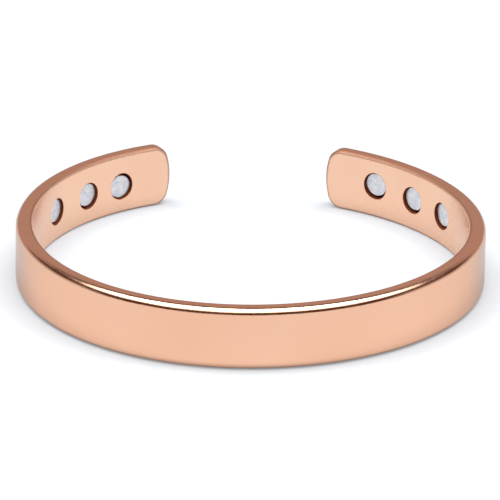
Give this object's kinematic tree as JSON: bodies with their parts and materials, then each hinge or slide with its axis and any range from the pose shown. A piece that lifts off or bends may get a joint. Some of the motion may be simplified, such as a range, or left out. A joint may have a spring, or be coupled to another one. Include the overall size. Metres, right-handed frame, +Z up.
{
  "type": "magnetic cuff bracelet",
  "caption": "Open cuff bracelet: a flat polished copper band with rounded edges and tips, and small disc magnets in pockets inside its ends.",
  "frame": {"origin": "on the surface that the cuff lies on, under the middle of its outline seen from above", "axes": "+X to the right across the wrist, +Y from the closed front to the open gap, +Z up along the height of the band"},
  "size_m": [0.0586, 0.053, 0.008],
  "materials": {
    "polished_copper": "copper, mirror polished",
    "plated_magnet": "nickel plated, satin"
  },
  "bodies": {
    "root": {"cuff": "polished_copper", "magnet_left_1": "plated_magnet", "magnet_left_2": "plated_magnet", "magnet_left_3": "plated_magnet", "magnet_right_1": "plated_magnet", "magnet_right_2": "plated_magnet", "magnet_right_3": "plated_magnet"}
  },
  "joints": []
}
